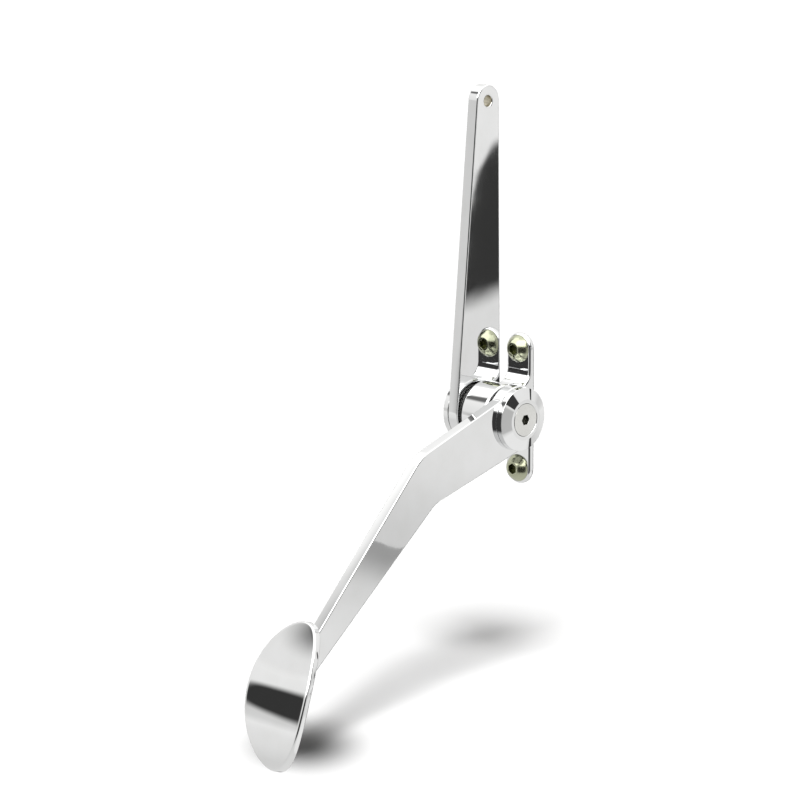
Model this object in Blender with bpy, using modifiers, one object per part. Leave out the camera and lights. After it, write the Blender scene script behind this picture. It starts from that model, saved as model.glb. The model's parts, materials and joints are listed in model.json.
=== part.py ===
"""A firewall-mounted spoon accelerator pedal: bracket, pivot, cable lever, pedal arm and spoon pad.

Frame: +X along the pivot towards the pedal arm, +Y into the firewall, +Z up. The origin is the centre
of the bracket's flat back face, level with the pivot. Everything is drawn around the pivot, which two
empties carry: one for the fixed bracket, one for the pedal that swings.
"""

import math

import bmesh
import bpy
from mathutils import Vector

MM = 0.001

# Driving dimensions
PLATE = 6.35 * MM             # lever and arm plate
HUB_R = 15.875 * MM           # lever eye, bracket barrel and hub caps
BARREL_HALF = 7.95 * MM       # half the bracket's width along the pivot
SIDE_GAP = 2.2 * MM           # barrel end to plate, filled by a thrust washer
PIVOT_TO_BACK = 21.6 * MM     # pivot axis to the firewall face
TOUCH_GAP = 0.3 * MM          # left between pieces that rest on each other
EDGE = 0.6 * MM               # chamfer on the plates' edges

# Bracket
EAR_THICK = 3.8 * MM
EAR_SCREW_Z = 30.5 * MM       # screw centres above and below the pivot
EAR_HOLE_R = 4.25 * MM
EAR_FILLET = 7.0 * MM         # hollow fillet from barrel to ear
BRACKET_EDGE = 0.8 * MM

# Pivot
SHAFT_R = 7.9 * MM
SHAFT_RUNNING = 0.08 * MM
BUSHING_WALL = 1.5 * MM
BUSHING_FIT = 0.08 * MM
BUSHING_SPLIT = 0.5 * MM      # half the grease space between the two bushings
WASHER_R = 12.7 * MM
DRIVE_R = 6.35 * MM           # double-D ends of the shaft
DRIVE_FLAT = 4.75 * MM        # centre to flat
DRIVE_FIT = 0.15 * MM
DRIVE_SHORT = 0.4 * MM        # the cap clamps the plate, not the shaft's end
TAP_R = 4.05 * MM

# Hub cap and its countersunk screw
CAP_RIM = 3.0 * MM
CAP_CONE = 1.95 * MM
CAP_FACE_R = 10.2 * MM
SCREW_R = 3.95 * MM
SCREW_HOLE_R = 4.5 * MM
SINK_HEAD_R = 8.35 * MM
SINK_HALF_ANGLE = math.radians(41)
HUB_SCREW_LENGTH = 16.0 * MM
HEX_HALF_FLAT = 2.38 * MM
HEX_DEPTH = 2.6 * MM
HEAD_FIT = 0.12 * MM

# Button-head mounting screws
BUTTON_R = 6.95 * MM
BUTTON_HEIGHT = 4.0 * MM
BUTTON_FLAT_R = 3.3 * MM

# Cable lever
LEVER_HOLE = (5.95 * MM, 155.3 * MM)
LEVER_HOLE_R = 2.7 * MM
LEVER_TOP_R = 8.0 * MM

# Pedal arm: outline in (Y, Z) around the pivot
ARM_HUB_R = 16.4 * MM
ARM_TOP_OFFSET = 14.0 * MM    # pivot to the arm's straight upper edge
TOP_KNEE = (-69.1 * MM, -8.7 * MM)
UNDER_KNEE = (-58.8 * MM, -33.5 * MM)
TOP_KNEE_R = 22.0 * MM
UNDER_KNEE_R = 18.0 * MM
TOP_TIP = (-162.6 * MM, -106.4 * MM)
UNDER_TIP = (-167.2 * MM, -122.7 * MM)

# Spoon pad: a plate bent about an axis along X, with an elliptical outline
PAD_CENTRE = (-166.6 * MM, -108.2 * MM)
PAD_TILT = math.radians(18.1)
PAD_BEND_R = 74.0 * MM
PAD_HALF_LENGTH = 38.1 * MM   # along the bend
PAD_HALF_WIDTH = 20.0 * MM
PAD_THICK = 4.3 * MM
PAD_EDGE = 0.8 * MM
PAD_REACH = math.radians(38)

PLATE_INNER = BARREL_HALF + SIDE_GAP
PLATE_OUTER = PLATE_INNER + PLATE
PLATE_MIDDLE = (PLATE_INNER + PLATE_OUTER) / 2
CAP_BASE = PLATE_OUTER + TOUCH_GAP / 3
CAP_FACE = CAP_BASE + CAP_RIM + CAP_CONE
BUSHING_BORE_R = SHAFT_R + SHAFT_RUNNING
BUSHING_R = BUSHING_BORE_R + BUSHING_WALL
EAR_FRONT = PIVOT_TO_BACK - EAR_THICK
SLICES = 56

SIDE_ON = (math.pi / 2, 0, math.pi / 2)      # drawing plane YZ, thickness along +X
ALONG_X = (0, math.pi / 2, 0)                # turned about local Z, lying along +X
FACING = (math.pi / 2, 0, 0)                 # drawing plane XZ, thickness along -Y

CHROME = ((0.78, 0.78, 0.80), 0.06, 1.0)
STAINLESS = ((0.56, 0.56, 0.50), 0.18, 1.0)
ZINC = ((0.62, 0.64, 0.44), 0.22, 1.0)
BRONZE = ((0.55, 0.38, 0.18), 0.35, 1.0)
STEEL = ((0.50, 0.50, 0.52), 0.30, 1.0)
NYLON = ((0.05, 0.05, 0.05), 0.50, 0.0)


# --- scene -----------------------------------------------------------------------------------------

def clear_scene():
    for obj in list(bpy.data.objects):
        bpy.data.objects.remove(obj, do_unlink=True)


def collection(name):
    made = bpy.data.collections.new(name)
    bpy.context.scene.collection.children.link(made)
    return made


def pivot_empty(name):
    empty = bpy.data.objects.new(name, None)
    empty.location = (0, -PIVOT_TO_BACK, 0)
    PARTS.objects.link(empty)
    return empty


def material(name, look):
    colour, roughness, metallic = look
    made = bpy.data.materials.new(name)
    made.use_nodes = True
    shader = made.node_tree.nodes["Principled BSDF"]
    shader.inputs["Base Color"].default_value = (*colour, 1)
    shader.inputs["Roughness"].default_value = roughness
    shader.inputs["Metallic"].default_value = metallic
    return made


def add_object(name, mesh, rotation=(0, 0, 0), location=(0, 0, 0)):
    obj = bpy.data.objects.new(name, mesh)
    obj.rotation_euler = rotation
    obj.location = location
    PARTS.objects.link(obj)
    return obj


def finish(obj, parent, look):
    obj.parent = parent
    obj.data.materials.append(material(obj.name, look))
    obj.data.shade_smooth()
    obj.data.set_sharp_from_angle(angle=math.radians(30))
    return obj


# --- outlines --------------------------------------------------------------------------------------

def arc(centre, radius, start, end, steps):
    """Points along an arc, angles in radians, both ends included."""
    angles = [start + (end - start) * i / steps for i in range(steps + 1)]
    return [(centre[0] + radius * math.cos(a), centre[1] + radius * math.sin(a)) for a in angles]


def circle(centre, radius, steps=SLICES):
    return arc(centre, radius, 0, 2 * math.pi, steps)[:-1]


def belt(radius, far_centre, far_radius):
    """Two round ends, one at the origin, joined by straight edges tangent to both."""
    lean = math.atan2(far_centre[1], far_centre[0])
    spread = math.acos((radius - far_radius) / math.hypot(*far_centre))
    near = arc((0, 0), radius, lean + spread, lean + 2 * math.pi - spread, SLICES // 2)
    far = arc(far_centre, far_radius, lean - spread, lean + spread, SLICES // 2)
    return near + far


def rounded_corner(before, corner, after, radius, steps=8):
    """The arc that rounds one corner of an outline."""
    to_before = (Vector(before) - Vector(corner)).normalized()
    to_after = (Vector(after) - Vector(corner)).normalized()
    half = to_before.angle(to_after) / 2
    centre = Vector(corner) + (to_before + to_after).normalized() * radius / math.sin(half)
    first = Vector(corner) + to_before * radius / math.tan(half) - centre
    sweep = math.pi - 2 * half
    if to_before.cross(to_after) > 0:
        sweep = -sweep
    start = math.atan2(first.y, first.x)
    return arc(centre, radius, start, start + sweep, steps)


def double_d(radius, flat):
    """A circle with two flats, above and below."""
    half = math.asin(flat / radius)
    return arc((0, 0), radius, -half, half, 12) + arc((0, 0), radius, math.pi - half, math.pi + half, 12)


def bracket_profile():
    """Side view of the bracket: a barrel, hollow fillets and a flat back, the same above and below."""
    hollow_y = EAR_FRONT - EAR_FILLET
    hollow_z = math.sqrt((HUB_R + EAR_FILLET) ** 2 - hollow_y ** 2)
    lean = math.atan2(hollow_z, hollow_y)
    ear_end = EAR_SCREW_Z + BARREL_HALF
    upper = arc((hollow_y, hollow_z), EAR_FILLET, lean - math.pi, 0, 10)
    lower = [(y, -z) for y, z in upper]
    barrel = arc((0, 0), HUB_R, lean, 2 * math.pi - lean, SLICES // 2)[1:-1]
    back = [(EAR_FRONT, -ear_end), (PIVOT_TO_BACK, -ear_end), (PIVOT_TO_BACK, ear_end), (EAR_FRONT, ear_end)]
    return barrel + lower + back + list(reversed(upper))


def arm_outline():
    """Round hub, straight upper leg, knee, and a lower leg that narrows into the back of the pad."""
    knee_angle = math.atan2(TOP_KNEE[1], TOP_KNEE[0])
    top_normal = knee_angle - math.acos(ARM_TOP_OFFSET / math.hypot(*TOP_KNEE)) + 2 * math.pi
    top_start = top_normal + math.acos(ARM_TOP_OFFSET / ARM_HUB_R)
    under_angle = math.atan2(UNDER_KNEE[1], UNDER_KNEE[0])
    under_start = under_angle + math.acos(ARM_HUB_R / math.hypot(*UNDER_KNEE))
    hub = arc((0, 0), ARM_HUB_R, under_start, top_start, SLICES // 2)
    top = rounded_corner(hub[-1], TOP_KNEE, TOP_TIP, TOP_KNEE_R)
    under = rounded_corner(UNDER_TIP, UNDER_KNEE, hub[0], UNDER_KNEE_R)
    return hub + top + [TOP_TIP, UNDER_TIP] + under


def pad_bend_centre():
    return (PAD_CENTRE[0] + PAD_BEND_R * math.cos(PAD_TILT), PAD_CENTRE[1] - PAD_BEND_R * math.sin(PAD_TILT))


def pad_section(back_r, front_r, reach):
    """Side view of the bent plate, between two radii about its bend centre."""
    middle = math.pi - PAD_TILT
    front = arc(pad_bend_centre(), front_r, middle - reach, middle + reach, 30)
    back = arc(pad_bend_centre(), back_r, middle + reach, middle - reach, 30)
    return front + back


# --- solids ----------------------------------------------------------------------------------------

def slab(name, outlines, thickness, rotation, location=(0, 0, 0), edge=0.0):
    """A flat piece: the first outline less the others, extruded, with chamfered edges."""
    curve = bpy.data.curves.new(name, "CURVE")
    curve.dimensions = "2D"
    curve.fill_mode = "BOTH"
    curve.extrude = thickness / 2 - edge
    curve.bevel_depth = edge
    curve.offset = -edge
    curve.bevel_resolution = 0
    for outline in outlines:
        spline = curve.splines.new("POLY")
        spline.points.add(len(outline) - 1)
        for point, place in zip(spline.points, outline):
            point.co = (place[0], place[1], 0, 1)
        spline.use_cyclic_u = True
    drawn = add_object(name + "_curve", curve, rotation, location)
    bpy.context.view_layer.update()
    evaluated = drawn.evaluated_get(bpy.context.evaluated_depsgraph_get())
    mesh = bpy.data.meshes.new_from_object(evaluated)
    weld(mesh)
    solid = add_object(name, mesh)
    solid.matrix_world = drawn.matrix_world
    bpy.data.objects.remove(drawn)
    return solid


def weld(mesh):
    work = bmesh.new()
    work.from_mesh(mesh)
    bmesh.ops.remove_doubles(work, verts=work.verts, dist=0.01 * MM)
    bmesh.ops.recalc_face_normals(work, faces=work.faces)
    work.to_mesh(mesh)
    work.free()


def turned(name, profile, rotation=ALONG_X, location=(0, 0, 0), ring=False):
    """A profile of (radius, height) points turned about local Z; a ring's profile is a closed loop."""
    mesh = bpy.data.meshes.new(name)
    vertices = [(radius, 0, height) for radius, height in profile]
    edges = [(i, i + 1) for i in range(len(profile) - 1)]
    if ring:
        edges.append((len(profile) - 1, 0))
    mesh.from_pydata(vertices, edges, [])
    obj = add_object(name, mesh, rotation, location)
    screw = obj.modifiers.new("turn", "SCREW")
    screw.steps = SLICES
    screw.render_steps = SLICES
    screw.use_merge_vertices = True
    screw.merge_threshold = 0.01 * MM
    return obj


def as_cutter(obj):
    PARTS.objects.unlink(obj)
    CUTTERS.objects.link(obj)
    obj.hide_render = True
    obj.display_type = "WIRE"
    return obj


def boolean(obj, operation, cutter):
    modifier = obj.modifiers.new(cutter.name, "BOOLEAN")
    modifier.operation = operation
    modifier.solver = "EXACT"
    modifier.object = cutter
    return obj


def cut(obj, cutter):
    return boolean(obj, "DIFFERENCE", as_cutter(cutter))


def rod(name, radius, length, rotation, location, sides=SLICES):
    """A plain bar centred on its location, along local Z."""
    mesh = bpy.data.meshes.new(name)
    work = bmesh.new()
    bmesh.ops.create_cone(work, cap_ends=True, segments=sides, radius1=radius, radius2=radius, depth=length)
    work.to_mesh(mesh)
    work.free()
    return add_object(name, mesh, rotation, location)


def box(name, size, location):
    mesh = bpy.data.meshes.new(name)
    work = bmesh.new()
    bmesh.ops.create_cube(work, size=1)
    bmesh.ops.scale(work, vec=size, verts=work.verts)
    work.to_mesh(mesh)
    work.free()
    return add_object(name, mesh, location=location)


# --- pieces ----------------------------------------------------------------------------------------

def mount_bracket():
    bracket = slab("mount_bracket", [bracket_profile()], 2 * BARREL_HALF, SIDE_ON, edge=BRACKET_EDGE)
    ear_z = Vector((0, EAR_SCREW_Z))
    upper = arc(ear_z, BARREL_HALF, 0, math.pi, SLICES // 2)
    lower = arc(-ear_z, BARREL_HALF, math.pi, 2 * math.pi, SLICES // 2)
    front_view = slab("ear_outline", [upper + lower], 4 * PIVOT_TO_BACK, FACING)
    boolean(bracket, "INTERSECT", as_cutter(front_view))
    bore = rod("barrel_bore", BUSHING_R + BUSHING_FIT, 4 * BARREL_HALF, ALONG_X, (0, 0, 0))
    cut(bracket, bore)
    for side, z in (("upper", EAR_SCREW_Z), ("lower", -EAR_SCREW_Z)):
        cut(bracket, rod(side + "_ear_hole", EAR_HOLE_R, 4 * EAR_THICK, FACING, (0, EAR_FRONT, z)))
    return finish(bracket, MOUNT, CHROME)


def bushing(name, side):
    """A bronze sleeve, from the middle of the barrel to its end."""
    low, high = sorted((side * BUSHING_SPLIT, side * BARREL_HALF))
    profile = [(BUSHING_R, high), (BUSHING_R, low), (BUSHING_BORE_R, low), (BUSHING_BORE_R, high)]
    return finish(turned(name, profile, ring=True), MOUNT, BRONZE)


def thrust_washer(name, side):
    low, high = sorted((side * (BARREL_HALF + TOUCH_GAP), side * (PLATE_INNER - TOUCH_GAP)))
    bore = SHAFT_R + TOUCH_GAP
    profile = [(WASHER_R, high), (WASHER_R, low), (bore, low), (bore, high)]
    return finish(turned(name, profile, ring=True), MOUNT, NYLON)


def pivot_shaft():
    """A journal with a double-D drive at each end, tapped right through."""
    shoulder = PLATE_INNER - TOUCH_GAP / 3
    end = PLATE_OUTER - DRIVE_SHORT
    profile = [(DRIVE_R, end), (DRIVE_R, shoulder), (SHAFT_R, shoulder), (SHAFT_R, -shoulder),
               (DRIVE_R, -shoulder), (DRIVE_R, -end), (TAP_R, -end), (TAP_R, end)]
    shaft = turned("pivot_shaft", profile, ring=True)
    depth = DRIVE_R
    for side in (-1, 1):
        for above in (-1, 1):
            place = (side * (shoulder + PLATE / 2), 0, above * (DRIVE_FLAT + depth / 2))
            cut(shaft, box("drive_flat", (PLATE, 4 * DRIVE_R, depth), place))
    return finish(shaft, PEDAL, STEEL)


def cable_lever():
    drive = double_d(DRIVE_R + DRIVE_FIT, DRIVE_FLAT + DRIVE_FIT)
    outlines = [belt(HUB_R, LEVER_HOLE, LEVER_TOP_R), drive, circle(LEVER_HOLE, LEVER_HOLE_R, 32)]
    lever = slab("cable_lever", outlines, PLATE, SIDE_ON, (-PLATE_MIDDLE, 0, 0), EDGE)
    return finish(lever, PEDAL, CHROME)


def pedal_arm():
    """The end of the arm is cut to the back of the pad, which it is welded to."""
    drive = double_d(DRIVE_R + DRIVE_FIT, DRIVE_FLAT + DRIVE_FIT)
    arm = slab("pedal_arm", [arm_outline(), drive], PLATE, SIDE_ON, (PLATE_MIDDLE, 0, 0), EDGE)
    back_r = PAD_BEND_R - PAD_THICK - TOUCH_GAP
    seat = pad_section(back_r, PAD_BEND_R + 3 * PAD_THICK, PAD_REACH)
    cut(arm, slab("pad_seat", [seat], 4 * PLATE, SIDE_ON, (PLATE_MIDDLE, 0, 0)))
    return finish(arm, PEDAL, CHROME)


def spoon_pad():
    section = pad_section(PAD_BEND_R - PAD_THICK, PAD_BEND_R, PAD_REACH)
    pad = slab("spoon_pad", [section], 3 * PAD_HALF_WIDTH, SIDE_ON, (PLATE_MIDDLE, 0, 0))
    half_height = PAD_BEND_R * math.sin(PAD_HALF_LENGTH / PAD_BEND_R)
    oval = [(PAD_HALF_WIDTH * x, half_height * y) for x, y in circle((0, 0), 1)]
    facing_pad = (math.pi / 2 - PAD_TILT, 0, 0)
    cutter = slab("pad_outline", [oval], 2 * PAD_BEND_R, facing_pad, (PLATE_MIDDLE, *PAD_CENTRE))
    boolean(pad, "INTERSECT", as_cutter(cutter))
    bevel = pad.modifiers.new("rounded_edge", "BEVEL")
    bevel.width = PAD_EDGE
    bevel.segments = 2
    bevel.limit_method = "ANGLE"
    bevel.angle_limit = math.radians(50)
    return finish(pad, PEDAL, CHROME)


def sink_depth(radius, clearance):
    """How far below the cap's face the countersink has narrowed to this radius."""
    return (SINK_HEAD_R + clearance - radius) / math.tan(SINK_HALF_ANGLE)


def hub_cap(name, side):
    """A turned cap, drawn with its face up, that clamps the plate against the shaft's shoulder."""
    mouth = SINK_HEAD_R + HEAD_FIT
    sink_end = CAP_FACE - sink_depth(SCREW_HOLE_R, HEAD_FIT)
    profile = [(CAP_FACE_R, CAP_FACE), (HUB_R, CAP_BASE + CAP_RIM), (HUB_R, CAP_BASE),
               (SCREW_HOLE_R, CAP_BASE), (SCREW_HOLE_R, sink_end), (mouth, CAP_FACE)]
    return finish(turned(name, profile, outward(side), ring=True), PEDAL, CHROME)


def outward(side):
    """Lay a piece drawn along +Z along the pivot, facing out on its own side."""
    return (0, side * math.pi / 2, 0)


def hex_socket(name, rotation, location, depth):
    corner_r = HEX_HALF_FLAT / math.cos(math.pi / 6)
    return rod(name, corner_r, 2 * depth, rotation, location, sides=6)


def hub_screw(name, side):
    neck = CAP_FACE - sink_depth(SCREW_R, 0)
    tip = CAP_FACE - HUB_SCREW_LENGTH
    profile = [(0, CAP_FACE), (SINK_HEAD_R, CAP_FACE), (SCREW_R, neck), (SCREW_R, tip), (0, tip)]
    screw = turned(name, profile, outward(side))
    cut(screw, hex_socket(name + "_socket", outward(side), (side * CAP_FACE, 0, 0), HEX_DEPTH))
    return finish(screw, PEDAL, STAINLESS)


def mount_screw(name, z):
    """A button-head screw through an ear. Its shank stops short of the firewall face."""
    seat = TOUCH_GAP / 3
    below = (BUTTON_R ** 2 - BUTTON_FLAT_R ** 2 - BUTTON_HEIGHT ** 2) / (2 * BUTTON_HEIGHT)
    start = math.atan2(BUTTON_HEIGHT + below, BUTTON_FLAT_R)
    end = math.atan2(below, BUTTON_R)
    dome = [(r, h - below + seat) for r, h in arc((0, 0), math.hypot(BUTTON_R, below), start, end, 6)]
    tip = -(EAR_THICK - TOUCH_GAP)
    profile = [(0, dome[0][1]), *dome, (SCREW_R, seat), (SCREW_R, tip), (0, tip)]
    place = (0, EAR_FRONT, z)
    screw = turned(name, profile, FACING, place)
    top = Vector(place) - Vector((0, dome[0][1], 0))
    cut(screw, hex_socket(name + "_socket", FACING, top, HEX_DEPTH))
    return finish(screw, MOUNT, ZINC)


def build():
    mount_bracket()
    mount_screw("mount_screw_upper", EAR_SCREW_Z)
    mount_screw("mount_screw_lower", -EAR_SCREW_Z)
    pivot_shaft()
    cable_lever()
    pedal_arm()
    spoon_pad()
    for name, side in (("left", -1), ("right", 1)):
        bushing("bushing_" + name, side)
        thrust_washer("thrust_washer_" + name, side)
        hub_cap("hub_cap_" + name, side)
        hub_screw("hub_screw_" + name, side)
    for obj in CUTTERS.objects:
        obj.parent = MOUNT


clear_scene()
PARTS = collection("spoon_accelerator_pedal")
CUTTERS = collection("cutters")
MOUNT = pivot_empty("mount_frame")
PEDAL = pivot_empty("pedal_pivot")
build()
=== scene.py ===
"""Looks for the spoon accelerator pedal: mirror chrome on a white studio floor."""

import json
import math

import bmesh
import bpy
from mathutils import Matrix, Vector

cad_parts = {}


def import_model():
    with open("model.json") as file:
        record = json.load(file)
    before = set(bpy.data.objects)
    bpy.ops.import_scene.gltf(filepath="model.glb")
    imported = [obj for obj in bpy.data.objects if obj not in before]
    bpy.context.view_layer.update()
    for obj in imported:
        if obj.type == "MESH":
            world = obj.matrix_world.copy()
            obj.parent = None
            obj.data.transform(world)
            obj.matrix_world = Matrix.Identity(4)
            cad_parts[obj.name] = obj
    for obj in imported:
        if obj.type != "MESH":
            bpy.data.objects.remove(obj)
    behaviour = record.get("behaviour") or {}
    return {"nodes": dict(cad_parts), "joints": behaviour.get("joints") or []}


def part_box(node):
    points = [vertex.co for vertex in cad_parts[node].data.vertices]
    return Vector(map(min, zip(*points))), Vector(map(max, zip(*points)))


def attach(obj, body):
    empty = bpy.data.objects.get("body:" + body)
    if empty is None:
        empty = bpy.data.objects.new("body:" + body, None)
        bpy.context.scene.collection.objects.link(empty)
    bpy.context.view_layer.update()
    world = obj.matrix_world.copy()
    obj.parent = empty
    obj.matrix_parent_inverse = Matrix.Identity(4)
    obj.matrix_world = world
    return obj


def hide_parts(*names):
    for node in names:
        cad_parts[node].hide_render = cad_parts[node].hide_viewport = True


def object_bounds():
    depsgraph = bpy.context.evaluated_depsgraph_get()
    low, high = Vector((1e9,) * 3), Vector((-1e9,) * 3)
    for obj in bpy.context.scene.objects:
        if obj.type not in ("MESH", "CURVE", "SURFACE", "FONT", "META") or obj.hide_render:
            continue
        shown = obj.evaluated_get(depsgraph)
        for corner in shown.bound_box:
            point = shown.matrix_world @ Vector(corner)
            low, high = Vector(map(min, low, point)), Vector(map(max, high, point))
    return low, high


MM = 0.001
SIDE_ON = Matrix(((0, 0, 1), (1, 0, 0), (0, 1, 0))).to_4x4()     # drawn (Y, Z), thickness along X
FACING = Matrix(((1, 0, 0), (0, 0, -1), (0, 1, 0))).to_4x4()     # drawn (X, Z), thickness along -Y

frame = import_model()
cad_low, cad_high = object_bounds()
PIVOT = Vector(frame["joints"][0]["pos_m"])


def middle(node):
    low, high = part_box(node)
    return (low + high) / 2


def extent(node):
    low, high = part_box(node)
    return high - low


HUB_R = extent("hub_cap_right").z / 2
PLATE = extent("cable_lever").x
LEVER_X = middle("cable_lever").x
ARM_X = middle("pedal_arm").x
BARREL_HALF = extent("mount_bracket").x / 2
EAR_SCREW_Z = middle("mount_screw_upper").z
EAR_THICK = 3.8 * MM
EAR_FRONT = -PIVOT.y - EAR_THICK
EAR_FILLET = 7.0 * MM
EAR_HOLE_R = 4.25 * MM
BRACKET_EDGE = 1.4 * MM
BORE_GAP = 0.08 * MM           # keeps the bore clear of the bushings
WASHER_BORE_R = 8.2 * MM
WASHER_EDGE = 0.2 * MM

CAP_HOLE_R = 4.5 * MM
CAP_FACE_R = 10.2 * MM
CAP_CONE = 1.95 * MM           # how far the cone falls from the face to the rim
CAP_EDGE = 0.25 * MM
SINK_SLOPE = math.tan(math.radians(41))
SINK_HEAD_R = 8.35 * MM
SINK_GAP = 0.12 * MM           # round the countersunk head
SINK_EDGE = 0.2 * MM

SHANK_R = 3.95 * MM
BUTTON_HEIGHT = 4.0 * MM
BUTTON_FLAT_R = 3.3 * MM
SOCKET_R = 2.38 * MM / math.cos(math.pi / 6)
SOCKET_DEPTH = 2.6 * MM
SOCKET_SHADE_R = 2.8 * MM      # how far out a socket is painted dark,
SOCKET_SHADE_TOP = 0.2 * MM    # from this far below its mouth
SOCKET_SHADE_END = 3.0 * MM    # to this far
SINK_SOCKET_EDGE = 0.15 * MM
BUTTON_EDGE = 0.18 * MM

LEVER_TOP_R = 8.0 * MM
LEVER_HOLE = (5.95 * MM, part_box("cable_lever")[1].z - LEVER_TOP_R)
LEVER_HOLE_R = 2.7 * MM
DRIVE_R = 6.5 * MM
DRIVE_FLAT = 4.9 * MM

ARM_HUB_R = 16.4 * MM
ARM_TOP_OFFSET = 14.0 * MM
TOP_KNEE = (-69.1 * MM, -8.7 * MM)
UNDER_KNEE = (-58.8 * MM, -33.5 * MM)
TOP_KNEE_R = 22.0 * MM
UNDER_KNEE_R = 18.0 * MM
TOP_TIP = (-162.6 * MM, -106.4 * MM)
UNDER_TIP = (-167.2 * MM, -122.7 * MM)

PAD_CENTRE = (-166.6 * MM, -108.2 * MM)
PAD_TILT = math.radians(18.1)
PAD_BEND_R = 74.0 * MM
PAD_THICK = 4.3 * MM
PAD_CROWN_R = 400.0 * MM       # the slight crown across the pad
PAD_HALF_WIDTH = extent("spoon_pad").x / 2
PAD_HALF_LENGTH = PAD_BEND_R * math.sin(38.1 * MM / PAD_BEND_R)
PAD_FRONT_EDGE = 1.1 * MM
PAD_BACK_EDGE = 1.0 * MM
PAD_SKIN = 0.01 * MM           # keeps the fine surface inside the faceted one
WELD_GAP = 0.3 * MM            # between the arm and the back of the pad
BEND_CENTRE = (PAD_CENTRE[0] + PAD_BEND_R * math.cos(PAD_TILT),
               PAD_CENTRE[1] - PAD_BEND_R * math.sin(PAD_TILT))

PLATE_EDGE = 0.8 * MM
SLICES = 160


# --- outlines --------------------------------------------------------------------------------------

def arc(centre, radius, start, end, steps):
    angles = [start + (end - start) * i / steps for i in range(steps + 1)]
    return [(centre[0] + radius * math.cos(a), centre[1] + radius * math.sin(a)) for a in angles]


def circle(centre, radius, steps=SLICES):
    return arc(centre, radius, 0, 2 * math.pi, steps)[:-1]


def belt(radius, far_centre, far_radius):
    """Two round ends, one at the origin, joined by straight edges tangent to both."""
    lean = math.atan2(far_centre[1], far_centre[0])
    spread = math.acos((radius - far_radius) / math.hypot(*far_centre))
    near = arc((0, 0), radius, lean + spread, lean + 2 * math.pi - spread, SLICES // 2)
    far = arc(far_centre, far_radius, lean - spread, lean + spread, SLICES // 2)
    return near + far


def rounded_corner(before, corner, after, radius, steps=16):
    """The arc that rounds a corner between two straight lines."""
    to_before = (Vector(before) - Vector(corner)).normalized()
    to_after = (Vector(after) - Vector(corner)).normalized()
    half = to_before.angle(to_after) / 2
    centre = Vector(corner) + (to_before + to_after).normalized() * radius / math.sin(half)
    first = Vector(corner) + to_before * radius / math.tan(half) - centre
    sweep = math.pi - 2 * half
    if to_before.cross(to_after) > 0:
        sweep = -sweep
    start = math.atan2(first.y, first.x)
    return arc(centre, radius, start, start + sweep, steps)


def double_d(radius, flat):
    """A round hole with two flats."""
    half = math.asin(flat / radius)
    return arc((0, 0), radius, -half, half, 24) + arc((0, 0), radius, math.pi - half, math.pi + half, 24)


def where_line_leaves(start, end, centre, radius):
    """The point where a line from inside a circle crosses it."""
    run = (Vector(end) - Vector(start)).normalized()
    offset = Vector(start) - Vector(centre)
    along = offset.dot(run)
    return Vector(start) + run * (-along + math.sqrt(along ** 2 - offset.length_squared + radius ** 2))


def bearing(point, centre):
    """The angle of a point seen from a centre."""
    return math.atan2(point[1] - centre[1], point[0] - centre[0])


def arm_outline():
    """Round hub, straight upper leg, knee, and a lower leg that ends on the back of the pad."""
    knee_angle = math.atan2(TOP_KNEE[1], TOP_KNEE[0])
    top_normal = knee_angle - math.acos(ARM_TOP_OFFSET / math.hypot(*TOP_KNEE)) + 2 * math.pi
    top_start = top_normal + math.acos(ARM_TOP_OFFSET / ARM_HUB_R)
    under_angle = math.atan2(UNDER_KNEE[1], UNDER_KNEE[0])
    under_start = under_angle + math.acos(ARM_HUB_R / math.hypot(*UNDER_KNEE))
    hub = arc((0, 0), ARM_HUB_R, under_start, top_start, SLICES)
    top = rounded_corner(hub[-1], TOP_KNEE, TOP_TIP, TOP_KNEE_R)
    under = rounded_corner(UNDER_TIP, UNDER_KNEE, hub[0], UNDER_KNEE_R)
    seat_r = PAD_BEND_R - PAD_THICK - WELD_GAP
    first = where_line_leaves(TOP_KNEE, TOP_TIP, BEND_CENTRE, seat_r)
    last = where_line_leaves(UNDER_KNEE, UNDER_TIP, BEND_CENTRE, seat_r)
    from_angle = bearing(first, BEND_CENTRE) % (2 * math.pi)
    to_angle = bearing(last, BEND_CENTRE) % (2 * math.pi)
    return hub + top + arc(BEND_CENTRE, seat_r, from_angle, to_angle, 12) + under


def bracket_profile():
    """The barrel, a fillet to each ear, and ears drawn too long, to be cut by the front view."""
    hollow_y = EAR_FRONT - EAR_FILLET
    hollow_z = math.sqrt((HUB_R + EAR_FILLET) ** 2 - hollow_y ** 2)
    lean = math.atan2(hollow_z, hollow_y)
    ear_end = EAR_SCREW_Z + BARREL_HALF
    back_y = -PIVOT.y
    upper = arc((hollow_y, hollow_z), EAR_FILLET, lean - math.pi, 0, 24)
    lower = [(y, -z) for y, z in upper]
    barrel = arc((0, 0), HUB_R, lean, 2 * math.pi - lean, SLICES)[1:-1]
    back = [(EAR_FRONT, -2 * ear_end), (back_y, -2 * ear_end),
            (back_y, 2 * ear_end), (EAR_FRONT, 2 * ear_end)]
    return barrel + lower + back + list(reversed(upper))


# --- meshes ----------------------------------------------------------------------------------------

def add_object(name, mesh, matrix=None):
    obj = bpy.data.objects.new(name, mesh)
    bpy.context.scene.collection.objects.link(obj)
    if matrix is not None:
        obj.matrix_world = matrix
    return obj


def at_pivot(x, turn):
    return Matrix.Translation(PIVOT + Vector((x, 0, 0))) @ turn


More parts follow.
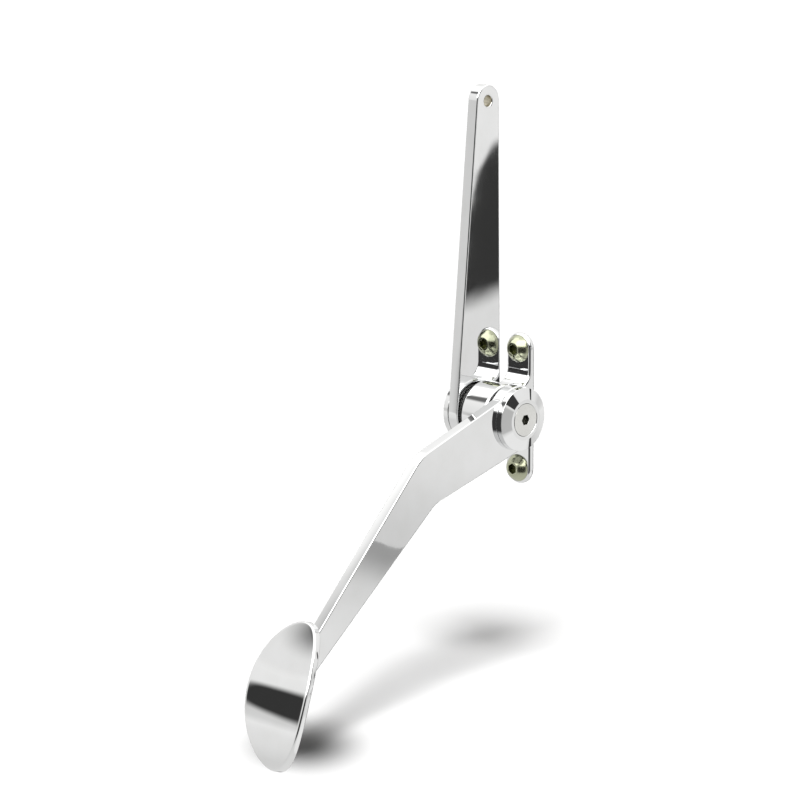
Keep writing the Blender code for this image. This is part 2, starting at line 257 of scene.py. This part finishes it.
def slab(name, outlines, thickness, matrix, edge=0.0):
    """A flat piece: the first outline less the others, extruded, with rounded edges."""
    curve = bpy.data.curves.new(name, "CURVE")
    curve.dimensions = "2D"
    curve.fill_mode = "BOTH"
    curve.extrude = thickness / 2 - edge
    curve.bevel_depth = edge
    curve.offset = -edge
    curve.bevel_resolution = 4
    for outline in outlines:
        spline = curve.splines.new("POLY")
        spline.points.add(len(outline) - 1)
        for point, place in zip(spline.points, outline):
            point.co = (place[0], place[1], 0, 1)
        spline.use_cyclic_u = True
    drawn = add_object(name + "_curve", curve, matrix)
    bpy.context.view_layer.update()
    mesh = bpy.data.meshes.new_from_object(drawn.evaluated_get(bpy.context.evaluated_depsgraph_get()))
    mesh.materials.clear()
    work = bmesh.new()
    work.from_mesh(mesh)
    bmesh.ops.remove_doubles(work, verts=work.verts, dist=0.005 * MM)
    bmesh.ops.dissolve_limit(work, angle_limit=math.radians(0.05), verts=work.verts, edges=work.edges)
    bmesh.ops.recalc_face_normals(work, faces=work.faces)
    work.to_mesh(mesh)
    work.free()
    bpy.data.objects.remove(drawn)
    return add_object(name, mesh, matrix)


def turned(name, profile, matrix, ring=False, steps=SLICES):
    """A profile of (radius, height) points turned about local Z."""
    work = bmesh.new()
    verts = [work.verts.new((radius, 0, height)) for radius, height in profile]
    edges = [work.edges.new(pair) for pair in zip(verts, verts[1:])]
    if ring:
        edges.append(work.edges.new((verts[-1], verts[0])))
    bmesh.ops.spin(work, geom=verts + edges, axis=(0, 0, 1), cent=(0, 0, 0), steps=steps,
                   angle=2 * math.pi, use_merge=True)
    bmesh.ops.remove_doubles(work, verts=work.verts, dist=0.002 * MM)
    bmesh.ops.recalc_face_normals(work, faces=work.faces)
    mesh = bpy.data.meshes.new(name)
    work.to_mesh(mesh)
    work.free()
    return add_object(name, mesh, matrix)


def soften(profile, radius, closed=False, steps=5):
    """Rounds every corner of a polyline profile that has room for it."""
    count = len(profile)
    out = []
    for i, corner in enumerate(profile):
        before, after = profile[i - 1], profile[(i + 1) % count]
        if not closed and i in (0, count - 1):
            out.append(corner)
            continue
        out += rounded_corner(before, corner, after, radius, steps)
    return out


def cutter(obj):
    """Hides a shape that is only used to cut others."""
    obj.hide_render = True
    obj.hide_viewport = True
    return obj


def carve(obj, tool, operation="DIFFERENCE"):
    modifier = obj.modifiers.new(tool.name, "BOOLEAN")
    modifier.operation = operation
    modifier.solver = "EXACT"
    modifier.object = tool


def round_edges(obj, width, segments=4, angle=35):
    modifier = obj.modifiers.new("edges", "BEVEL")
    modifier.width = width
    modifier.segments = segments
    modifier.limit_method = "ANGLE"
    modifier.angle_limit = math.radians(angle)
    modifier.use_clamp_overlap = False


def settle(obj):
    """Applies the modifiers and leaves smooth shading with flat faces kept flat."""
    bpy.context.view_layer.update()
    evaluated = obj.evaluated_get(bpy.context.evaluated_depsgraph_get())
    mesh = bpy.data.meshes.new_from_object(evaluated)
    obj.modifiers.clear()
    obj.data = mesh
    mesh.shade_smooth()
    weighted = obj.modifiers.new("flat_faces", "WEIGHTED_NORMAL")
    weighted.weight = 100
    weighted.keep_sharp = True
    return obj


def prism(name, radius, length, sides, matrix):
    work = bmesh.new()
    bmesh.ops.create_cone(work, cap_ends=True, segments=sides, radius1=radius, radius2=radius, depth=length)
    mesh = bpy.data.meshes.new(name)
    work.to_mesh(mesh)
    work.free()
    return add_object(name, mesh, matrix)


# --- materials -------------------------------------------------------------------------------------

def node(tree, kind, **values):
    made = tree.nodes.new(kind)
    for key, value in values.items():
        setattr(made, key, value)
    return made


def noise(tree, coordinates, scale, detail):
    made = node(tree, "ShaderNodeTexNoise")
    made.inputs["Scale"].default_value = scale
    made.inputs["Detail"].default_value = detail
    tree.links.new(coordinates, made.inputs["Vector"])
    return made.outputs["Fac"]


def spread(tree, value, low, high):
    """Stretches the middle of a noise over a range."""
    made = node(tree, "ShaderNodeMapRange")
    made.inputs["From Min"].default_value = 0.3
    made.inputs["From Max"].default_value = 0.7
    made.inputs["To Min"].default_value = low
    made.inputs["To Max"].default_value = high
    tree.links.new(value, made.inputs["Value"])
    return made.outputs["Result"]


def metal(name, tints, roughness, ripple, ripple_size, grain=0.0):
    """Polished metal: two tints that drift, uneven roughness, and a faint ripple from polishing."""
    made = bpy.data.materials.new(name)
    made.use_nodes = True
    tree = made.node_tree
    shader = tree.nodes["Principled BSDF"]
    shader.inputs["Metallic"].default_value = 1.0
    place = node(tree, "ShaderNodeTexCoord").outputs["Object"]
    blend = node(tree, "ShaderNodeMix", data_type="RGBA")
    blend.inputs["A"].default_value = (*tints[0], 1)
    blend.inputs["B"].default_value = (*tints[1], 1)
    tree.links.new(spread(tree, noise(tree, place, 90, 3), 0, 1), blend.inputs["Factor"])
    tree.links.new(blend.outputs["Result"], shader.inputs["Base Color"])
    tree.links.new(spread(tree, noise(tree, place, 45, 4), *roughness), shader.inputs["Roughness"])
    bump = node(tree, "ShaderNodeBump")
    bump.inputs["Distance"].default_value = ripple
    tree.links.new(noise(tree, place, 1 / ripple_size, 1), bump.inputs["Height"])
    tree.links.new(bump.outputs["Normal"], shader.inputs["Normal"])
    if grain:
        fine = node(tree, "ShaderNodeBump")
        fine.inputs["Distance"].default_value = grain
        tree.links.new(noise(tree, place, 6000, 2), fine.inputs["Height"])
        tree.links.new(fine.outputs["Normal"], bump.inputs["Normal"])
    return made


CHROME = metal("chrome", ((0.76, 0.765, 0.77), (0.73, 0.735, 0.735)), (0.012, 0.03), 0.012 * MM, 18 * MM)
STAINLESS = metal("stainless", ((0.74, 0.74, 0.72), (0.69, 0.69, 0.67)), (0.10, 0.18), 0.01 * MM, 4 * MM,
                  0.003 * MM)
SOCKET = metal("socket_shade", ((0.15, 0.15, 0.13), (0.09, 0.09, 0.08)), (0.3, 0.5), 0.01 * MM, 2 * MM)
ZINC_SOCKET = metal("zinc_socket_shade", ((0.17, 0.18, 0.08), (0.11, 0.12, 0.05)), (0.3, 0.5),
                    0.01 * MM, 2 * MM)
# a warm beige, painted on the wall of the lever's hole
WARM_BORE = metal("warm_bore", ((0.56, 0.52, 0.42), (0.48, 0.45, 0.36)), (0.25, 0.4), 0.01 * MM, 2 * MM)
ZINC = metal("zinc_yellow", ((0.365, 0.38, 0.26), (0.455, 0.47, 0.35)), (0.18, 0.27), 0.02 * MM, 3 * MM,
             0.002 * MM)
STEEL = metal("ground_steel", ((0.52, 0.52, 0.54), (0.44, 0.44, 0.46)), (0.2, 0.35), 0.01 * MM, 5 * MM,
              0.004 * MM)
BRONZE = metal("bronze", ((0.58, 0.40, 0.20), (0.46, 0.31, 0.15)), (0.3, 0.45), 0.01 * MM, 3 * MM,
               0.01 * MM)


def nylon():
    """Black plastic whose shade and roughness vary a little."""
    made = bpy.data.materials.new("nylon")
    made.use_nodes = True
    tree = made.node_tree
    shader = tree.nodes["Principled BSDF"]
    place = node(tree, "ShaderNodeTexCoord").outputs["Object"]
    blend = node(tree, "ShaderNodeMix", data_type="RGBA")
    blend.inputs["A"].default_value = (0.030, 0.030, 0.030, 1)
    blend.inputs["B"].default_value = (0.055, 0.055, 0.052, 1)
    tree.links.new(spread(tree, noise(tree, place, 300, 3), 0, 1), blend.inputs["Factor"])
    tree.links.new(blend.outputs["Result"], shader.inputs["Base Color"])
    tree.links.new(spread(tree, noise(tree, place, 800, 3), 0.35, 0.55), shader.inputs["Roughness"])
    return made


NYLON = nylon()


def piece(obj, body, material, slot, *nodes):
    """Gives a piece its material and its body, and hides the CAD nodes that it stands for."""
    obj.data.materials.clear()
    obj.data.materials.append(material)
    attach(obj, body)
    if nodes:
        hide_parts(*nodes)
    return obj


def paint(obj, material, inside):
    """Gives the faces whose centre passes the test their own material."""
    obj.data.materials.append(material)
    for face in obj.data.polygons:
        if inside(face.center):
            face.material_index = 1


# --- pieces ----------------------------------------------------------------------------------------

def cable_lever():
    outlines = [belt(HUB_R, LEVER_HOLE, LEVER_TOP_R), double_d(DRIVE_R, DRIVE_FLAT),
                circle(LEVER_HOLE, LEVER_HOLE_R, 64)]
    lever = settle(slab("lever_plate", outlines, PLATE, at_pivot(LEVER_X, SIDE_ON), PLATE_EDGE))
    lever.visible_shadow = False
    piece(lever, "pedal", CHROME, "chrome_plate", "cable_lever")
    # the wall of the lever's hole is painted a warm beige
    paint(lever, WARM_BORE, lambda at: (at.xy - Vector(LEVER_HOLE)).length < LEVER_HOLE_R + 0.1 * MM)


def pedal_arm():
    outlines = [arm_outline(), double_d(DRIVE_R, DRIVE_FLAT)]
    arm = settle(slab("arm_plate", outlines, PLATE, at_pivot(ARM_X, SIDE_ON), PLATE_EDGE))
    piece(arm, "pedal", CHROME, "chrome_plate", "pedal_arm")


def pad_rings():
    """(inset from the outline, depth, whether the depth is below the front or above the back)."""
    half_pi = math.pi / 2
    rings = [(PAD_HALF_WIDTH * (1 - i / 24) + PAD_FRONT_EDGE * i / 24, 0.0, True) for i in range(24)]
    for i in range(9):
        a = half_pi * i / 8
        rings.append((PAD_FRONT_EDGE * (1 - math.sin(a)), PAD_FRONT_EDGE * (1 - math.cos(a)), True))
    for i in range(8, -1, -1):
        a = half_pi * i / 8
        rings.append((PAD_BACK_EDGE * (1 - math.sin(a)), PAD_BACK_EDGE * (1 - math.cos(a)), False))
    back = [(PAD_HALF_WIDTH * (1 - i / 16) + PAD_BACK_EDGE * i / 16, 0.0, False) for i in range(15, -1, -1)]
    return rings + back


def pad_ring(work, inset, depth, front):
    """One oval of the pad's surface, bent about an axis along X."""
    along = Vector((0, math.sin(PAD_TILT), math.cos(PAD_TILT)))
    out = Vector((0, -math.cos(PAD_TILT), math.sin(PAD_TILT)))
    centre = PIVOT + Vector((ARM_X, *BEND_CENTRE))
    across = PAD_HALF_WIDTH - inset
    up = PAD_HALF_LENGTH - inset
    if inset > 2 * PAD_FRONT_EDGE:
        up = PAD_HALF_LENGTH * across / PAD_HALF_WIDTH
    radius = PAD_BEND_R - PAD_SKIN if front else PAD_BEND_R - PAD_THICK
    ring = []
    for i in range(SLICES):
        a = 2 * math.pi * i / SLICES
        x, v = across * math.cos(a), up * math.sin(a)
        raised = -depth - x * x / (2 * PAD_CROWN_R) if front else depth
        rise = math.sqrt(radius ** 2 - v ** 2) + raised
        ring.append(work.verts.new(centre + Vector((x, 0, 0)) + along * v + out * rise))
    return ring


def spoon_pad():
    """A bent oval plate: rings of the oval over the front, round the rim and over the back."""
    work = bmesh.new()
    rings = [pad_ring(work, *ring) for ring in pad_rings()]
    for one, other in zip(rings, rings[1:]):
        for i in range(SLICES):
            j = (i + 1) % SLICES
            work.faces.new((one[i], one[j], other[j], other[i]))
    bmesh.ops.remove_doubles(work, verts=work.verts, dist=0.002 * MM)
    bmesh.ops.recalc_face_normals(work, faces=work.faces)
    mesh = bpy.data.meshes.new("pad")
    work.to_mesh(mesh)
    work.free()
    mesh.shade_smooth()
    pad = add_object("pad", mesh)
    pad.visible_shadow = False
    piece(pad, "pedal", CHROME, "chrome_plate", "spoon_pad")


def mount_bracket():
    """The side view extruded, cut to the front view, then bored."""
    bracket = slab("bracket", [bracket_profile()], 4 * BARREL_HALF, at_pivot(0, SIDE_ON))
    upper = arc((0, EAR_SCREW_Z), BARREL_HALF, 0, math.pi, SLICES // 2)
    lower = arc((0, -EAR_SCREW_Z), BARREL_HALF, math.pi, 2 * math.pi, SLICES // 2)
    outline = cutter(slab("bracket_front_view", [upper + lower], 0.2, FACING))
    carve(bracket, outline, "INTERSECT")
    round_edges(bracket, BRACKET_EDGE)
    bore = cutter(prism("bracket_bore", extent("bushing_left").z / 2 + BORE_GAP, 0.1, SLICES,
                        at_pivot(0, Matrix.Rotation(math.pi / 2, 4, "Y"))))
    carve(bracket, bore)
    for name, z in (("upper", EAR_SCREW_Z), ("lower", -EAR_SCREW_Z)):
        hole = cutter(prism("bracket_hole_" + name, EAR_HOLE_R, 0.03, 64,
                            Matrix.Translation((0, 0, z)) @ FACING))
        carve(bracket, hole)
    settle(bracket)
    piece(bracket, "mount", CHROME, "chrome_plate", "mount_bracket")


def outward(side):
    """Turns local Z outwards along the pivot."""
    return Matrix.Translation((0, PIVOT.y, 0)) @ Matrix.Rotation(side * math.pi / 2, 4, "Y")


def socket(name, place, top):
    """A hexagon that cuts a screw's socket below its top."""
    return cutter(prism(name, SOCKET_R, 2 * SOCKET_DEPTH, 6, place @ Matrix.Translation((0, 0, top))))


def in_socket(top):
    """A test for the faces of a screw that lie in its socket."""
    return lambda at: at.xy.length < SOCKET_SHADE_R and SOCKET_SHADE_TOP < top - at.z < SOCKET_SHADE_END


def hub_cap(name, side):
    """The cap on one end of the pivot. Returns how far out its face lies."""
    low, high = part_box("hub_cap_" + name)
    base, face = sorted((abs(low.x), abs(high.x)))
    mouth = SINK_HEAD_R + SINK_GAP
    profile = [(CAP_HOLE_R, base), (HUB_R, base), (HUB_R, face - CAP_CONE), (CAP_FACE_R, face),
               (mouth, face), (CAP_HOLE_R, face - (mouth - CAP_HOLE_R) / SINK_SLOPE)]
    profile = soften(profile, CAP_EDGE, closed=True)
    cap = settle(turned("cap_" + name, profile, outward(side), ring=True))
    piece(cap, "pedal", CHROME, "chrome_plate", "hub_cap_" + name)
    return face


def hub_screw(name, side, face):
    """A countersunk socket screw, level with the cap's face."""
    low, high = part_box("hub_screw_" + name)
    tip = min(abs(low.x), abs(high.x))
    neck = face - (SINK_HEAD_R - SHANK_R) / SINK_SLOPE
    profile = [(0, face), (SINK_HEAD_R, face), (SHANK_R, neck), (SHANK_R, tip), (0, tip)]
    screw = turned("cap_screw_" + name, soften(profile, SINK_EDGE), outward(side))
    carve(screw, socket("cap_socket_" + name, outward(side), face))
    round_edges(screw, SINK_SOCKET_EDGE, 2, 40)
    settle(screw)
    piece(screw, "pedal", STAINLESS, "socket_screw", "hub_screw_" + name)
    paint(screw, SOCKET, in_socket(face))


def ear_screw(name, z):
    """A button head on the ear and its shank through it."""
    node_name = "mount_screw_" + name
    low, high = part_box(node_name)
    head_r = extent(node_name).x / 2
    below = (head_r ** 2 - BUTTON_FLAT_R ** 2 - BUTTON_HEIGHT ** 2) / (2 * BUTTON_HEIGHT)
    dome = arc((0, 0), math.hypot(head_r, below), math.atan2(BUTTON_HEIGHT + below, BUTTON_FLAT_R),
               math.atan2(below, head_r), 24)
    ear = EAR_FRONT + PIVOT.y
    seat = ear - low.y - BUTTON_HEIGHT
    rows = [(r, h - below + seat) for r, h in dome]
    crest = rows[0][1]
    tip = ear - high.y
    profile = [(0, crest), *rows, (SHANK_R, seat), (SHANK_R, tip), (0, tip)]
    place = Matrix.Translation((0, ear, z)) @ FACING
    screw = turned("ear_screw_" + name, profile, place)
    carve(screw, socket("ear_socket_" + name, place, crest))
    round_edges(screw, BUTTON_EDGE, 3, 40)
    settle(screw)
    piece(screw, "mount", ZINC, "zinc_screw", node_name)
    paint(screw, ZINC_SOCKET, in_socket(crest))


def washer(name):
    node_name = "thrust_washer_" + name
    low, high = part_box(node_name)
    radius = extent(node_name).z / 2
    profile = [(WASHER_BORE_R, low.x), (radius, low.x), (radius, high.x), (WASHER_BORE_R, high.x)]
    ring = turned("washer_" + name, soften(profile, WASHER_EDGE, closed=True), outward(1), ring=True)
    piece(settle(ring), "mount", NYLON, "washer_nylon", node_name)


def carried_over():
    """The shaft and bushings stay as the CAD made them, inside the barrel."""
    for name, material in (("pivot_shaft", STEEL), ("bushing_left", BRONZE), ("bushing_right", BRONZE)):
        obj = frame["nodes"][name]
        obj.data.materials.clear()
        obj.data.materials.append(material)


# --- studio ----------------------------------------------------------------------------------------

AZIMUTH = math.radians(44)
ELEVATION = math.radians(12)
LENS = 200.0
SENSOR = 36.0
FRAME_WIDTH = 398.4 * MM      # what the picture spans at the pivot
AIM_LEFT = 46.7 * MM          # the picture's centre, seen from the pivot
AIM_UP = 6.8 * MM
FLOOR_GAP = 0.3 * MM
# where the dark sheet hangs that paints shade on the floor beside the pad's foot
SCRIM = Vector((-0.0046, -0.1507, cad_low.z + 0.012))
LEVER_MIRRORS = Vector((0.6682, 0.7243, -0.1703))     # which way the lever's side mirrors the room
ARM_MIRRORS = Vector((0.6781, 0.6941, -0.2419))       # and the side of the arm's lower leg
CARD_DISTANCE = 1.4
LEVER_SPOT = (-0.0073, 0.0898 - 0.047)                # (Y, Z) of what mirrors the foot of the lever's card
ARM_SPOT = (-0.1226, -0.0516 + 0.009)                 # and the edge of the arm's
SUN_ANGLE = math.radians(16)
SUN_ENERGY = 3.8
SUN_DROP = 1.12               # how far its light falls for each metre it goes away from the camera


def camera():
    """A long lens, turned and raised to the angles above."""
    back = Vector((math.sin(AZIMUTH) * math.cos(ELEVATION), -math.cos(AZIMUTH) * math.cos(ELEVATION),
                   math.sin(ELEVATION)))
    right = Vector((math.cos(AZIMUTH), math.sin(AZIMUTH), 0))
    up = back.cross(right)
    made = bpy.data.cameras.new("camera")
    made.lens = LENS
    made.sensor_width = SENSOR
    made.clip_end = 100
    obj = bpy.data.objects.new("camera", made)
    bpy.context.scene.collection.objects.link(obj)
    distance = LENS / SENSOR * FRAME_WIDTH
    aim = Vector((0, PIVOT.y, 0)) - right * AIM_LEFT + up * AIM_UP
    obj.location = aim + back * distance
    obj.rotation_euler = back.to_track_quat("Z", "Y").to_euler()
    bpy.context.scene.camera = obj


def calculate(tree, operation, first, second=None):
    """A maths node fed with sockets or numbers."""
    made = node(tree, "ShaderNodeMath", operation=operation)
    for socket_in, value in zip(made.inputs, (first, second)):
        if isinstance(value, (int, float)):
            socket_in.default_value = value
        elif value is not None:
            tree.links.new(value, socket_in)
    return made.outputs[0]


def blob(tree, across, up, half_width, half_height, blur, power=4, taper=0.0):
    """1 inside a rounded box about zero, 0 outside it. A taper makes it taller to one side."""
    across = calculate(tree, "DIVIDE", across, half_width)
    up = calculate(tree, "DIVIDE", up, half_height)
    if taper:
        taller = calculate(tree, "ADD", calculate(tree, "MULTIPLY", across, taper), 1)
        up = calculate(tree, "DIVIDE", up, taller)
    across = calculate(tree, "POWER", calculate(tree, "ABSOLUTE", across), power)
    up = calculate(tree, "POWER", calculate(tree, "ABSOLUTE", up), power)
    reach = calculate(tree, "POWER", calculate(tree, "ADD", across, up), 1 / power)
    edge = node(tree, "ShaderNodeMapRange", interpolation_type="SMOOTHSTEP")
    tree.links.new(reach, edge.inputs["Value"])
    edge.inputs["From Min"].default_value = 1 - blur
    edge.inputs["From Max"].default_value = 1 + blur
    edge.inputs["To Min"].default_value = 1
    edge.inputs["To Max"].default_value = 0
    return edge.outputs["Result"]


def grey(level):
    """A slightly warm grey."""
    return (level, level * 0.995, level * 0.985, 1)


def blend_to(tree, below, level, mask):
    """Lays a grey over a colour where the mask is 1."""
    blend = node(tree, "ShaderNodeMix", data_type="RGBA")
    tree.links.new(mask, blend.inputs["Factor"])
    tree.links.new(below, blend.inputs["A"])
    blend.inputs["B"].default_value = grey(level)
    return blend.outputs["Result"]


# Where the room is not white: azimuth from +X towards +Y, elevation, half width, half height (degrees),
# blur and brightness.
ROOM = [
    (-46, 46, 65, 26, 0.10, 3.4),          # softbox over the camera
    (-46, -8, 38, 27, 0.20, 0.06),         # the dark end of the room, behind the camera
    (6, 26, 17, 17, 0.12, 0.08),           # dark ceiling to its right
    (215.5, 44, 12.5, 9.5, 0.32, 0.18),    # ceiling gap over the left softbox
    (40, -38, 30, 14, 0.15, 1.05),         # lit paper to the right
    (10, -9, 7, 15, 0.12, 0.62),           # grey flat to the right
    (22, 11.5, 8, 4.5, 0.08, 0.05),        # its black top edge
    (31, -3, 5, 7, 0.15, 0.06),            # gap between it and the paper
    (60.5, 11.6, 1.6, 4, 0.15, 0.05),      # stand
    (69, -18, 9, 11, 0.15, 0.08),          # and the dark wall by its foot
    (74, -32, 2.5, 2.5, 0.15, 0.05),
    (120, -20, 28, 14, 0.15, 0.06),        # dark gap in the back wall
]

# Brightness by height: (0 straight down to 1 straight up, level).
SKY = [(0.0, 0.9), (0.275, 0.82), (0.34, 0.95), (0.40, 0.99), (0.43, 1.05), (0.46, 0.84), (0.5, 0.78),
       (0.54, 1.0), (0.65, 1.05), (0.72, 1.10), (0.80, 1.15), (0.86, 1.6), (1.0, 1.6)]
AMBIENT = 0.31        # what dull surfaces get from all sides
BACKDROP = 1.15       # what the camera sees behind the floor


def sky(tree, upward):
    """The room's brightness by height alone, from straight down at 0 to straight up at 1."""
    height = node(tree, "ShaderNodeMapRange")
    height.inputs["From Min"].default_value = -1
    tree.links.new(upward, height.inputs["Value"])
    shades = node(tree, "ShaderNodeValToRGB")
    ramp = shades.color_ramp
    while len(ramp.elements) < len(SKY):
        ramp.elements.new(0.5)
    for element, (where, level) in zip(ramp.elements, SKY):
        element.position = where
        element.color = grey(level)
    tree.links.new(height.outputs["Result"], shades.inputs["Fac"])
    return shades.outputs["Color"]


def degrees_aside(tree, place, azimuth):
    """How far a direction lies to the side of an azimuth."""
    turn = node(tree, "ShaderNodeVectorRotate", rotation_type="Z_AXIS")
    turn.inputs["Angle"].default_value = -math.radians(azimuth)
    tree.links.new(place, turn.inputs["Vector"])
    split = node(tree, "ShaderNodeSeparateXYZ")
    tree.links.new(turn.outputs["Vector"], split.inputs[0])
    return calculate(tree, "DEGREES", calculate(tree, "ARCTAN2", split.outputs["Y"], split.outputs["X"]))


def world():
    """The painted room for the chrome, even light for dull surfaces and white behind everything."""
    made = bpy.data.worlds.new("studio")
    bpy.context.scene.world = made
    made.use_nodes = True
    tree = made.node_tree
    background = tree.nodes["Background"]
    place = node(tree, "ShaderNodeTexCoord").outputs["Generated"]
    split = node(tree, "ShaderNodeSeparateXYZ")
    tree.links.new(place, split.inputs[0])
    colour = sky(tree, split.outputs["Z"])
    up = calculate(tree, "DEGREES", calculate(tree, "ARCSINE", split.outputs["Z"]))
    for azimuth, elevation, half_width, half_height, blur, level in ROOM:
        across = degrees_aside(tree, place, azimuth)
        mask = blob(tree, across, calculate(tree, "SUBTRACT", up, elevation), half_width, half_height, blur)
        colour = blend_to(tree, colour, level, mask)
    path = node(tree, "ShaderNodeLightPath")
    colour = blend_to(tree, colour, AMBIENT, path.outputs["Is Diffuse Ray"])
    colour = blend_to(tree, colour, BACKDROP, path.outputs["Is Camera Ray"])
    tree.links.new(colour, background.inputs["Color"])


def soft_card(name, place, half, level, blur, power=4, low=-1.0, high=1.0, taper=0.0):
    """A soft-edged shape that glows at one level and is clear around it, cut straight at low and high."""
    work = bmesh.new()
    reach = (1 + blur) * (1 + abs(taper))
    corners = [(-reach, low * reach), (reach, low * reach), (reach, high * reach), (-reach, high * reach)]
    work.faces.new([work.verts.new((x * half[0], y * half[1], 0)) for x, y in corners])
    mesh = bpy.data.meshes.new(name)
    work.to_mesh(mesh)
    work.free()
    obj = add_object(name, mesh, place)
    made = bpy.data.materials.new(name)
    made.use_nodes = True
    tree = made.node_tree
    tree.nodes.clear()
    split = node(tree, "ShaderNodeSeparateXYZ")
    tree.links.new(node(tree, "ShaderNodeTexCoord").outputs["Object"], split.inputs[0])
    mask = blob(tree, split.outputs["X"], split.outputs["Y"], *half, blur, power, taper)
    clear = node(tree, "ShaderNodeBsdfTransparent")
    glow = node(tree, "ShaderNodeEmission")
    glow.inputs["Color"].default_value = grey(level)
    mixed = node(tree, "ShaderNodeMixShader")
    tree.links.new(mask, mixed.inputs[0])
    tree.links.new(clear.outputs[0], mixed.inputs[1])
    tree.links.new(glow.outputs[0], mixed.inputs[2])
    out = node(tree, "ShaderNodeOutputMaterial")
    tree.links.new(mixed.outputs[0], out.inputs["Surface"])
    mesh.materials.append(made)
    obj.visible_camera = False
    return obj


def stood_card(name, centre, facing, *shape, lean=0.0, **more):
    """An upright card that only the chrome sees."""
    direction = Vector(facing).normalized()
    turn = direction.to_track_quat("Z", "Y").to_matrix().to_4x4() @ Matrix.Rotation(lean, 4, "Z")
    card = soft_card(name, Matrix.Translation(centre) @ turn, *shape, **more)
    card.visible_diffuse = False
    card.visible_shadow = False


def floor():
    """A pale floor just under the pad, left out of the chrome."""
    work = bmesh.new()
    bmesh.ops.create_grid(work, x_segments=1, y_segments=1, size=20)
    mesh = bpy.data.meshes.new("floor")
    work.to_mesh(mesh)
    work.free()
    obj = add_object("floor", mesh, Matrix.Translation((0, 0, cad_low.z - FLOOR_GAP)))
    made = bpy.data.materials.new("floor")
    made.use_nodes = True
    tree = made.node_tree
    shader = tree.nodes["Principled BSDF"]
    shader.inputs["Roughness"].default_value = 1
    shader.inputs["Specular IOR Level"].default_value = 0
    place = node(tree, "ShaderNodeTexCoord").outputs["Object"]
    tree.links.new(spread(tree, noise(tree, place, 3, 2), 0.855, 0.865), shader.inputs["Base Color"])
    mesh.materials.append(made)
    obj.visible_glossy = False


def bearing_to(azimuth, elevation):
    """The unit vector towards an azimuth and an elevation in degrees."""
    azimuth, elevation = math.radians(azimuth), math.radians(elevation)
    return Vector((math.cos(azimuth) * math.cos(elevation), math.sin(azimuth) * math.cos(elevation),
                   math.sin(elevation)))


def side_of(way):
    """The level direction across a way."""
    return Vector((0, 0, 1)).cross(-way).normalized()


def lever_cards():
    """A dark stand on pale ground, mirrored in the lever."""
    way = LEVER_MIRRORS
    foot = Vector((LEVER_X + PLATE / 2, *LEVER_SPOT)) + way * CARD_DISTANCE
    ground = foot - way * 0.02 - Vector((0, 0, 0.042))
    stood_card("card_stand", foot - side_of(way) * 0.005, -way, (0.0355, 0.120), 0.045, 0.04, 2, low=-0.3)
    stood_card("card_ground", ground, -way, (0.10, 0.036), 0.92, 0.28, 2, lean=math.radians(-22))


def arm_cards():
    """A grey shade that fades upwards into haze, mirrored in the arm's lower leg."""
    way = ARM_MIRRORS
    edge = Vector((ARM_X + PLATE / 2, *ARM_SPOT)) + way * CARD_DISTANCE
    shade = edge - side_of(way) * 0.009
    stood_card("card_shade", shade, -way, (0.05, 0.024), 0.42, 0.7, 2, high=0.0, lean=math.radians(17))
    stood_card("card_haze", edge + way * 0.02, -way, (0.10, 0.045), 0.80, 0.8, 2)


def pad_cards():
    """Cards that only the pad mirrors, for painted reflections: the dark band across it, and a dark ceiling
    over its top with clear sky round it.
    """
    ahead = Vector((-0.695, -0.719, 0))
    flag = Vector((ARM_X, PIVOT.y + PAD_CENTRE[0] - 0.02, -0.051)) + ahead * 0.5
    stood_card("card_flag", flag, -ahead, (0.10, 0.076), 0.045, 0.28, taper=-0.28)
    top = math.radians(43)
    crest = PIVOT + Vector((ARM_X, BEND_CENTRE[0] - PAD_BEND_R * math.cos(top),
                            BEND_CENTRE[1] + PAD_BEND_R * math.sin(top)))
    way = bearing_to(201, 43.3)
    side = side_of(way)
    rise = side.cross(way)
    cover = crest + way * 0.075 - side * 0.015 - rise * 0.005
    stood_card("card_sky", cover, -way, (0.055, 0.045), 1.0, 0.15, 2)
    ceiling = crest + way * 0.07 - side * 0.006 + rise * 0.016
    stood_card("card_ceiling", ceiling, -way, (0.026, 0.0165), 0.17, 0.85, 2, lean=math.radians(47))


def contact_shade():
    """Painted shade beside the pad's foot: a soft dark scrim, unseen by the camera and the chrome, that
    only shades the floor.
    """
    place = Matrix.Translation(SCRIM) @ Matrix.Rotation(AZIMUTH, 4, "Z")
    scrim = soft_card("scrim", place, (0.020, 0.034), 0.0, 0.85, 2)
    scrim.visible_glossy = False


def lights():
    """One soft sun from behind the camera, for the shadows on the floor."""
    key = bpy.data.lights.new("key", "SUN")
    key.energy = SUN_ENERGY
    key.angle = SUN_ANGLE
    obj = bpy.data.objects.new("key", key)
    bpy.context.scene.collection.objects.link(obj)
    direction = Vector((-math.sin(AZIMUTH), math.cos(AZIMUTH), -SUN_DROP)).normalized()
    obj.rotation_euler = (-direction).to_track_quat("Z", "Y").to_euler()
    obj.visible_glossy = False


bpy.context.scene.view_settings.view_transform = "Standard"
cable_lever()
pedal_arm()
spoon_pad()
mount_bracket()
for side_name, side_sign in (("left", -1), ("right", 1)):
    cap_face = hub_cap(side_name, side_sign)
    hub_screw(side_name, side_sign, cap_face)
    washer(side_name)
ear_screw("upper", EAR_SCREW_Z)
ear_screw("lower", -EAR_SCREW_Z)
carried_over()
camera()
world()
floor()
lever_cards()
arm_cards()
pad_cards()
contact_shade()
lights()
